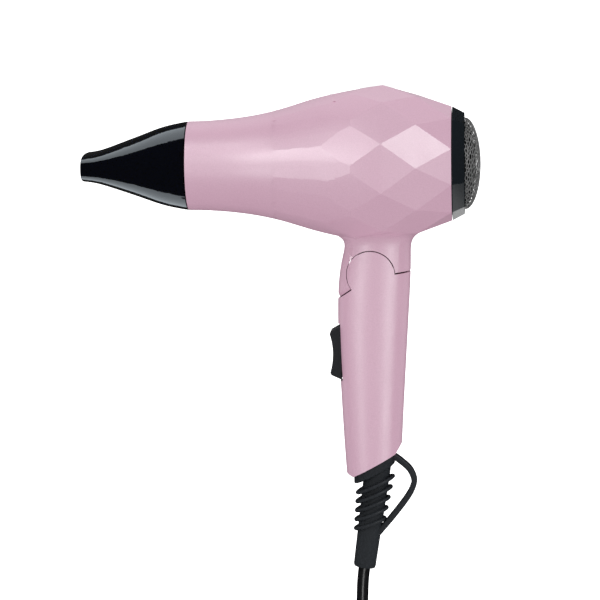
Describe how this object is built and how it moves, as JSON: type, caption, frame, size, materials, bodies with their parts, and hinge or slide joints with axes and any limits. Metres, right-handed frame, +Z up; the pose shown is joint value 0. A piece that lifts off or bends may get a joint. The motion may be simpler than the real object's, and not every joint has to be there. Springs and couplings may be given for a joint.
{
  "type": "folding hair dryer",
  "caption": "Folding hair dryer with a faceted pink barrel, flat black nozzle, mesh air inlet, rocker switch, hanging loop and mains cord.",
  "frame": {"origin": "the middle of the hand grip, on the handle's own axis, where a hand holds the dryer", "axes": "+Z up along the handle towards the barrel, the nozzle points towards -X and the air inlet towards +X, and the hinge and rocker axes lie along Y"},
  "size_m": [0.2038, 0.1194, 0.3392],
  "materials": {
    "casing": "satin pearl pink lacquer",
    "gloss_black": "high gloss black",
    "rear_ring": "dark smoked gloss lacquer",
    "mesh": "bare metal mesh",
    "satin_black": "satin black",
    "inner_black": "plain moulded",
    "steel": "bright",
    "brass": "plain",
    "mica": "speckled mica board",
    "heater_wire": "oxidised wire",
    "magnet": "sintered",
    "board": "phenolic board",
    "rubber": "charcoal",
    "foam": "open filter cloth",
    "copper": "enamelled copper"
  },
  "bodies": {
    "handle": {"handle_left": "casing", "handle_right": "casing", "hinge_pin": "steel", "friction_washers": "satin_black", "handle_screws": "steel", "switch_body": "inner_black", "switch_tabs": "brass", "switch_leads": "rubber", "strain_relief": "rubber", "cord_inner": "rubber", "cord_clamp": "inner_black", "clamp_screws": "steel", "cord_lead": "rubber", "cord_coil": "rubber", "cord_tail": "rubber", "cord_tie": "satin_black", "plug_body": "rubber", "plug_pins": "brass"},
    "rocker": {"rocker": "satin_black"},
    "barrel": {"barrel_left": "casing", "barrel_right": "casing", "barrel_screws": "steel", "outlet_ring": "inner_black", "mica_sleeve": "mica", "mica_cross": "mica", "heater_coils": "heater_wire", "thermostat": "inner_black", "thermal_fuse": "steel", "fan_housing": "inner_black", "motor_can": "steel", "motor_end_cap": "inner_black", "motor_bearings": "brass", "motor_magnets": "magnet", "motor_terminals": "brass", "diode_board": "board", "diodes": "inner_black", "capacitor": "board", "heater_leads": "rubber", "rear_ring": "rear_ring", "inlet_mesh": "mesh", "inlet_filter": "foam", "mesh_retainer": "inner_black"},
    "rotor": {"motor_shaft": "steel", "motor_armature": "copper", "fan": "inner_black"},
    "nozzle_carrier": {"nozzle_collar": "inner_black"},
    "nozzle": {"nozzle": "gloss_black"}
  },
  "joints": [
    {"name": "barrel_fold", "type": "hinge", "parent": "handle", "child": "barrel", "pos_m": [-0.0014, 0, 0.0562], "axis": [0, -1, 0], "range_deg": [0, 80]},
    {"name": "rocker_tilt", "type": "hinge", "parent": "handle", "child": "rocker", "pos_m": [-0.0125, 0, 0.0152], "axis": [0, 1, 0], "range_deg": [-7, 7]},
    {"name": "nozzle_turn", "type": "hinge", "parent": "barrel", "child": "nozzle_carrier", "pos_m": [-0.098, 0, 0.1125], "axis": [-1, 0, 0], "continuous": true},
    {"name": "nozzle_pull", "type": "slide", "parent": "nozzle_carrier", "child": "nozzle", "axis": [-1, 0, 0], "range_m": [0, 0.014]},
    {"name": "fan_spin", "type": "hinge", "parent": "barrel", "child": "rotor", "pos_m": [0, 0, 0.1125], "axis": [-1, 0, 0], "continuous": true}
  ]
}
